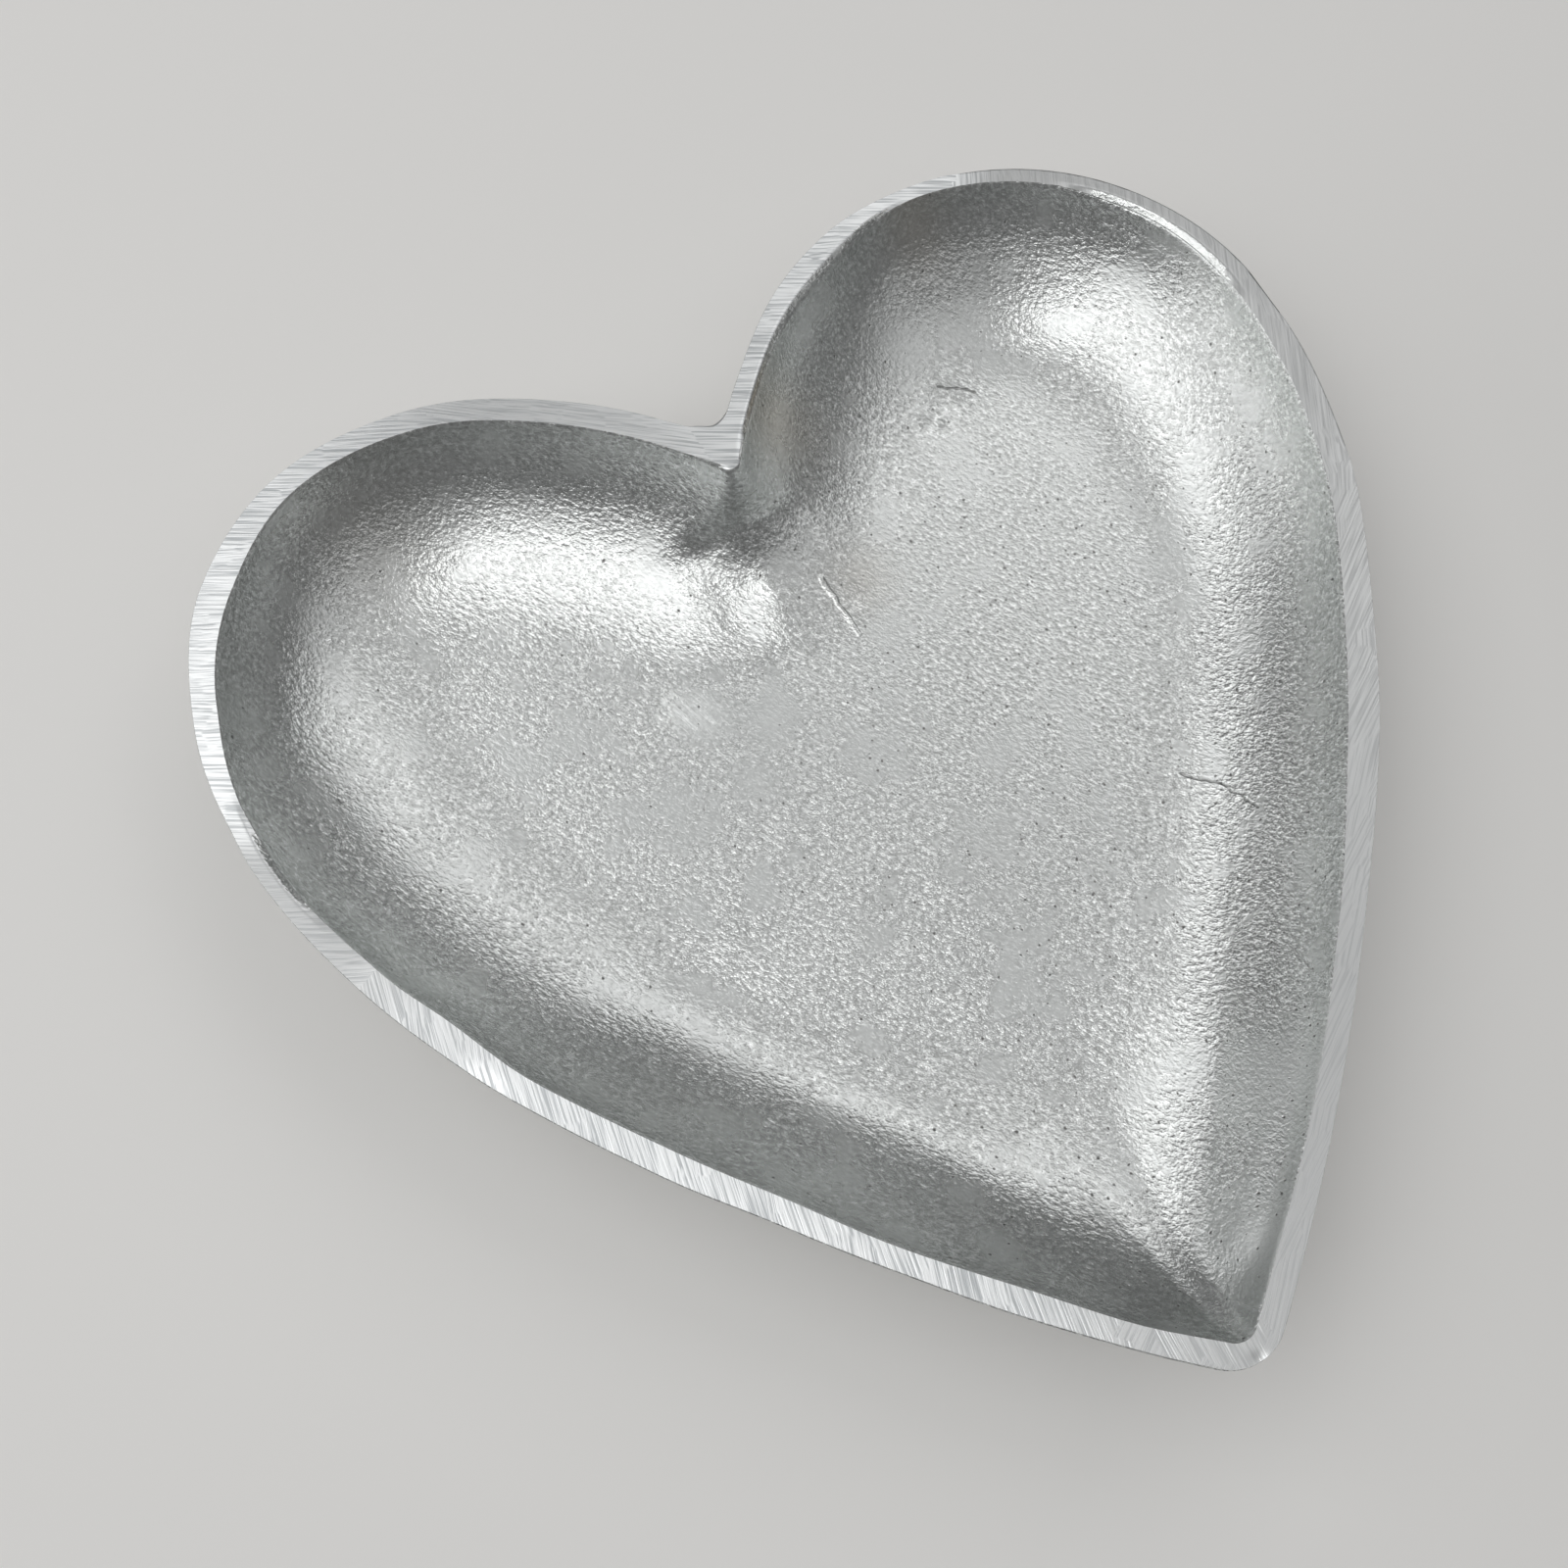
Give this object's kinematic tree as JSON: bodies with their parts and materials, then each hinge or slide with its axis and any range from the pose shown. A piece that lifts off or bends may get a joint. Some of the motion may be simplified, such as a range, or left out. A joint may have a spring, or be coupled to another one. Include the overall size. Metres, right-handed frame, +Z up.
{
  "type": "heart-shaped trinket dish",
  "caption": "Open heart-shaped trinket dish, sand-cast in aluminium, with a flat ground rim, wide coved walls that meet in a nose and a valley, a flat floor and felt pads under its base.",
  "frame": {"origin": "middle of the footprint on the table, on the plane of the felt pads' undersides", "axes": "+Y towards the two lobes, -Y towards the tip, +Z up, out of the dish's open mouth"},
  "size_m": [0.2, 0.1992, 0.0272],
  "materials": {
    "cast_aluminium": "as-cast satin grain, with a rim ground flat",
    "felt": "matt pressed felt"
  },
  "bodies": {
    "root": {"dish": "cast_aluminium", "felt_pad_left": "felt", "felt_pad_right": "felt", "felt_pad_tip": "felt"}
  },
  "joints": []
}
